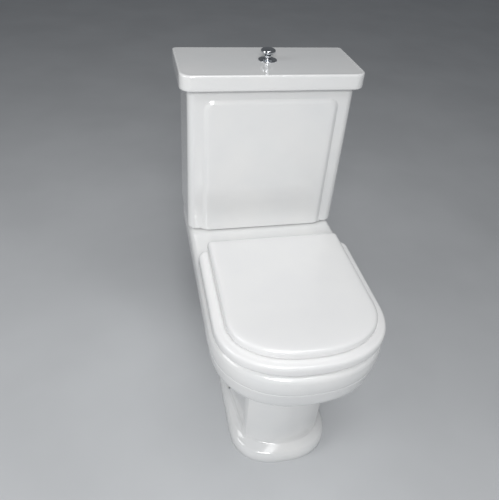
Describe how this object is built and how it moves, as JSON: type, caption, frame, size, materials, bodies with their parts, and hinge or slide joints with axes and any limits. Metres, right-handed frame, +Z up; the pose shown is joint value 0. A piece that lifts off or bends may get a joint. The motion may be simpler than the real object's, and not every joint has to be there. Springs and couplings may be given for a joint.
{
  "type": "close coupled toilet",
  "caption": "Close coupled toilet: pan with cistern on its deck, two-tier seat and cover on a rear hinge, pull-up flush knob on a lift-off lid.",
  "frame": {"origin": "on the floor, at the middle of the bounding box", "axes": "+Z up, +Y towards the wall behind the cistern, +X to the right of somebody facing the front of the toilet"},
  "size_m": [0.406, 0.657, 0.8296],
  "materials": {
    "vitreous_china": "gloss white glaze",
    "seat_plastic": "polished white thermoset",
    "chrome_plate": "bright chrome plate",
    "zinc_steel": "zinc plated",
    "black_rubber": "matt",
    "white_nylon": "moulded",
    "brass_plain": "machined",
    "float_plastic": "moulded"
  },
  "bodies": {
    "root": {"pan_deck": "vitreous_china", "pan_rim": "vitreous_china", "pan_basin": "vitreous_china", "pan_sump": "vitreous_china", "pan_pedestal": "vitreous_china", "pan_trapway": "vitreous_china", "pan_outlet": "vitreous_china", "cistern_tank": "vitreous_china", "coupling_gasket": "black_rubber", "coupling_bolt_left": "brass_plain", "coupling_bolt_right": "brass_plain", "coupling_head_washer_left": "black_rubber", "coupling_head_washer_right": "black_rubber", "coupling_pad_left": "black_rubber", "coupling_pad_right": "black_rubber", "coupling_wing_nut_left": "brass_plain", "coupling_wing_nut_right": "brass_plain", "flush_valve_body": "white_nylon", "flush_valve_washer": "black_rubber", "flush_valve_backnut": "white_nylon", "inlet_valve_body": "brass_plain", "inlet_washer": "black_rubber", "inlet_backnut": "brass_plain", "float_pivot_pin": "zinc_steel", "hinge_post_left": "chrome_plate", "hinge_post_right": "chrome_plate", "hinge_pin_left": "zinc_steel", "hinge_pin_right": "zinc_steel", "seat_bolt_left": "zinc_steel", "seat_bolt_right": "zinc_steel", "seat_washer_left": "black_rubber", "seat_washer_right": "black_rubber", "seat_wing_nut_left": "white_nylon", "seat_wing_nut_right": "white_nylon", "floor_bracket_left": "zinc_steel", "floor_bracket_right": "zinc_steel", "side_bush_left": "white_nylon", "side_bush_right": "white_nylon", "side_screw_left": "chrome_plate", "side_screw_right": "chrome_plate"},
    "seat_ring": {"seat_ring": "seat_plastic", "ring_buffer_back_left": "black_rubber", "ring_buffer_back_right": "black_rubber", "ring_buffer_front_left": "black_rubber", "ring_buffer_front_right": "black_rubber"},
    "seat_cover": {"seat_cover": "seat_plastic", "cover_buffer_left": "black_rubber", "cover_buffer_right": "black_rubber"},
    "cistern_lid": {"cistern_lid": "vitreous_china", "knob_escutcheon": "chrome_plate", "escutcheon_nut": "zinc_steel"},
    "flush_knob": {"flush_knob": "chrome_plate", "lift_rod": "brass_plain"},
    "flush_bell": {"flush_valve_bell": "white_nylon", "flush_valve_seal": "black_rubber"},
    "float_arm": {"float_arm": "brass_plain", "float_ball": "float_plastic"},
    "inlet_piston": {"inlet_piston": "brass_plain"}
  },
  "joints": [
    {"name": "seat_ring_hinge", "type": "hinge", "parent": "root", "child": "seat_ring", "pos_m": [0, 0.0445, 0.427], "axis": [-1, 0, 0], "range_deg": [0, 96]},
    {"name": "seat_cover_hinge", "type": "hinge", "parent": "seat_ring", "child": "seat_cover", "pos_m": [0, 0.0445, 0.427], "axis": [1, 0, 0], "range_deg": [-96, 0]},
    {"name": "cistern_lid_lift", "type": "slide", "parent": "root", "child": "cistern_lid", "axis": [0, 0, 1], "range_m": [0, 0.15]},
    {"name": "flush_knob_pull", "type": "slide", "parent": "cistern_lid", "child": "flush_knob", "axis": [0, 0, 1], "range_m": [0, 0.025]},
    {"name": "flush_bell_lift", "type": "slide", "parent": "root", "child": "flush_bell", "axis": [0, 0, 1], "range_m": [0, 0.025]},
    {"name": "float_arm_hinge", "type": "hinge", "parent": "root", "child": "float_arm", "pos_m": [0.15, 0.2705, 0.718], "axis": [0, 1, 0], "range_deg": [0, 20]},
    {"name": "inlet_piston_slide", "type": "slide", "parent": "root", "child": "inlet_piston", "axis": [1, 0, 0], "range_m": [0, 0.007]}
  ],
  "couplings": [
    {"joint": "flush_bell_lift", "follows": "flush_knob_pull", "ratio": 1},
    {"joint": "inlet_piston_slide", "follows": "float_arm_hinge", "m_per_rad": 0.0195}
  ]
}
